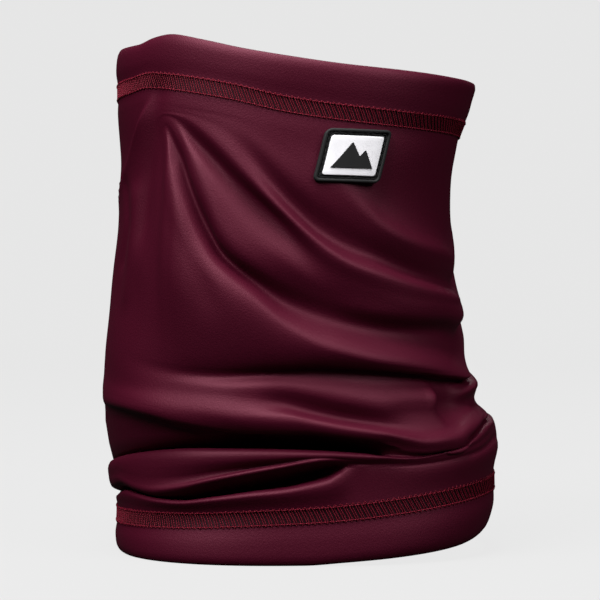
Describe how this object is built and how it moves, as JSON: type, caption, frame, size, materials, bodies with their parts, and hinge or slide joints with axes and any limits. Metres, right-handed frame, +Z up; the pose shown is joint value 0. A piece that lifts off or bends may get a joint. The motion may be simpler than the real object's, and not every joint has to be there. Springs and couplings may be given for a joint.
{
  "type": "neck gaiter",
  "caption": "Stretch tube worn round the neck and lower face, with cover-stitched turned hems, a seam down the back and a small rubber badge on the front.",
  "frame": {"origin": "middle of the object's box across X and Y, at the lower rim, which lies flat at z = 0", "axes": "+Z up the tube from the lower rim to the upper, -Y towards the wearer's front where the badge is, +X to the right as the front is looked at; the back seam is at +Y"},
  "size_m": [0.1598, 0.1592, 0.2044],
  "materials": {
    "knit": "smooth burgundy stretch knit with a satin sheen",
    "crimson_thread": "matt crimson polyester sewing thread",
    "black_rubber": "matt black moulded rubber",
    "white_rubber": "matt white moulded rubber",
    "black_thread": "matt black polyester sewing thread",
    "label_satin": "black woven satin ribbon"
  },
  "bodies": {
    "root": {"fabric_panel": "knit", "bottom_hem_lower_needle_thread": "crimson_thread", "bottom_hem_upper_needle_thread": "crimson_thread", "bottom_hem_cover_thread": "crimson_thread", "bottom_hem_looper_thread": "crimson_thread", "top_hem_lower_needle_thread": "crimson_thread", "top_hem_upper_needle_thread": "crimson_thread", "top_hem_cover_thread": "crimson_thread", "top_hem_looper_thread": "crimson_thread", "back_seam_left_needle_thread": "crimson_thread", "back_seam_right_needle_thread": "crimson_thread", "back_seam_cover_thread": "crimson_thread", "back_seam_looper_thread": "crimson_thread", "badge_base": "black_rubber", "badge_field": "white_rubber", "badge_emblem": "black_rubber", "badge_sewing_thread": "black_thread", "care_label": "label_satin"}
  },
  "joints": []
}
